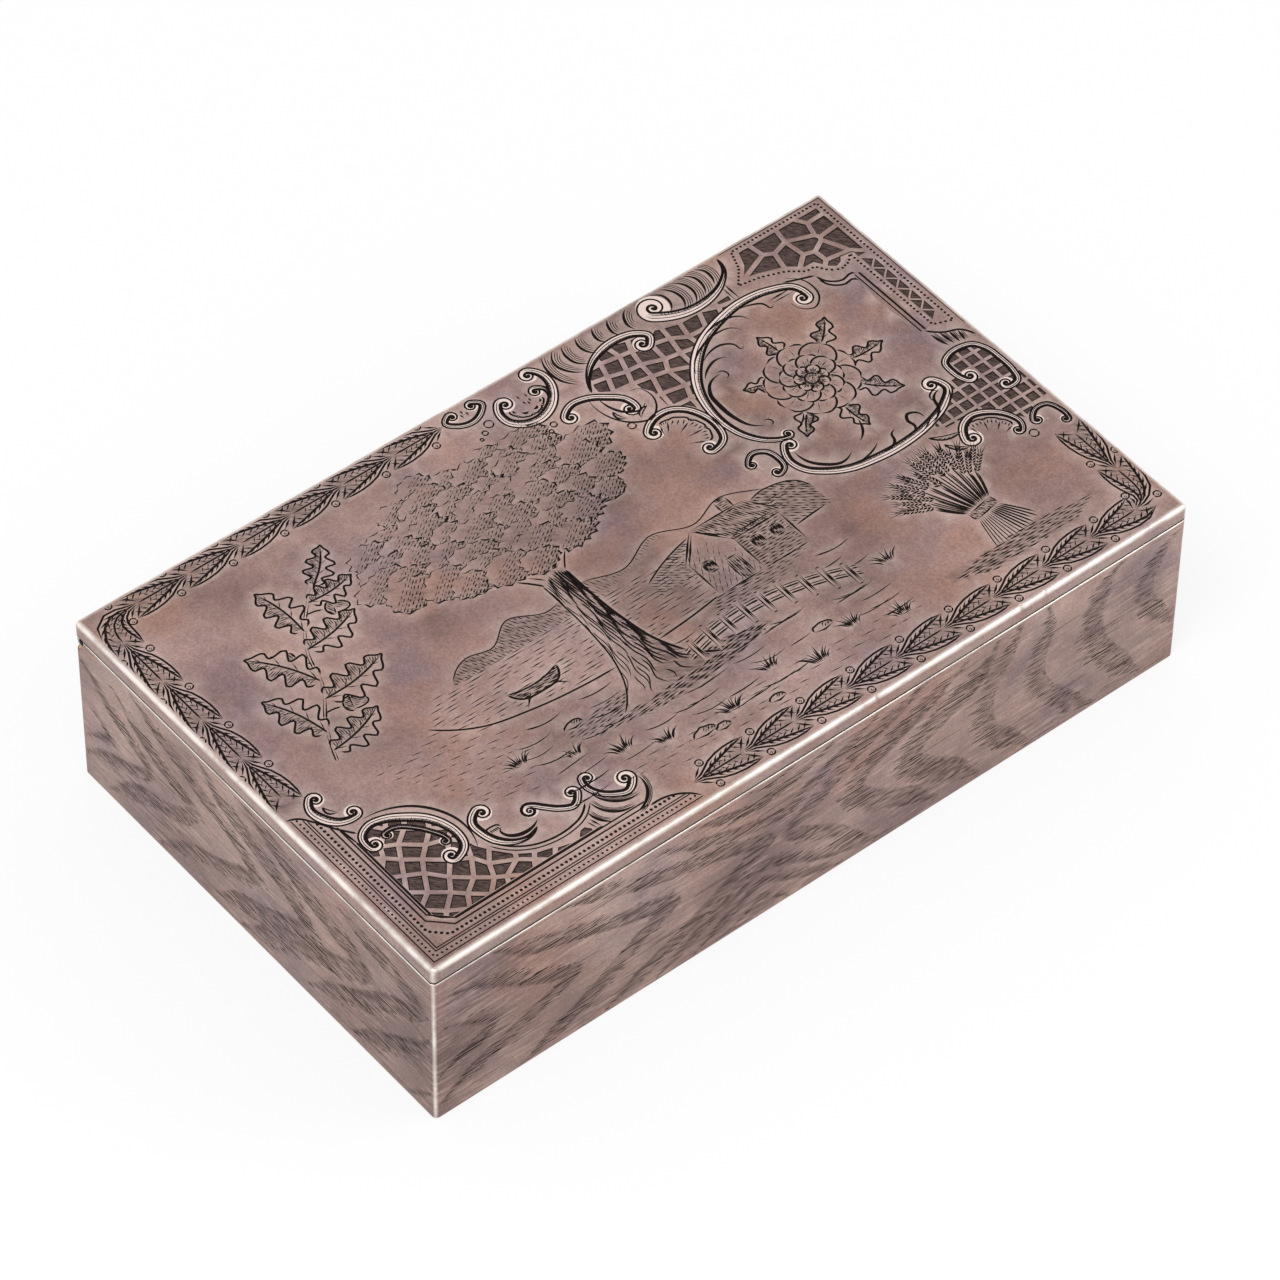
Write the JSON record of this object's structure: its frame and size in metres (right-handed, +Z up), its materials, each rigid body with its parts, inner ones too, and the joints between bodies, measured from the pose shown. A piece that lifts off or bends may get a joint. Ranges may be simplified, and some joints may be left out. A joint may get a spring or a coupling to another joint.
{
  "type": "cigar box",
  "caption": "Flat rectangular silver table box for cigars: engraved lid on a flush hinge along the back, wood-grain sides, gilt inside.",
  "frame": {"origin": "middle of the base's underside, on the surface that the box stands on", "axes": "+X along the long side, +Y from the front to the hinge side, +Z up"},
  "size_m": [0.2, 0.119, 0.047],
  "materials": {
    "oxidised_silver": "silver with a mauve-grey oxidised patina, dark in the engraved lines and rubbed bright on the edges",
    "worn_silver": "silver rubbed nearly clean, satin",
    "gilt_silver": "pale fire gilding over silver, soft polish",
    "pin_metal": "drawn silver wire, dulled"
  },
  "bodies": {
    "case": {"base_plate": "oxidised_silver", "front_wall": "oxidised_silver", "right_wall": "oxidised_silver", "back_wall": "oxidised_silver", "left_wall": "oxidised_silver", "front_bezel": "gilt_silver", "right_bezel": "gilt_silver", "left_bezel": "gilt_silver", "case_hinge_bearer": "gilt_silver", "case_knuckle_1": "worn_silver", "case_knuckle_2": "worn_silver", "case_knuckle_3": "worn_silver", "case_knuckle_4": "worn_silver", "case_knuckle_5": "worn_silver", "hinge_pin": "pin_metal"},
    "lid": {"lid_plate": "oxidised_silver", "lid_rim_front": "oxidised_silver", "lid_rim_right": "oxidised_silver", "lid_rim_back": "oxidised_silver", "lid_rim_left": "oxidised_silver", "lid_hinge_bearer": "gilt_silver", "lid_knuckle_1": "worn_silver", "lid_knuckle_2": "worn_silver", "lid_knuckle_3": "worn_silver", "lid_knuckle_4": "worn_silver"}
  },
  "joints": [
    {"name": "lid_hinge", "type": "hinge", "parent": "case", "child": "lid", "pos_m": [0, 0.0579, 0.0412], "axis": [-1, 0, 0], "range_deg": [0, 95]}
  ]
}
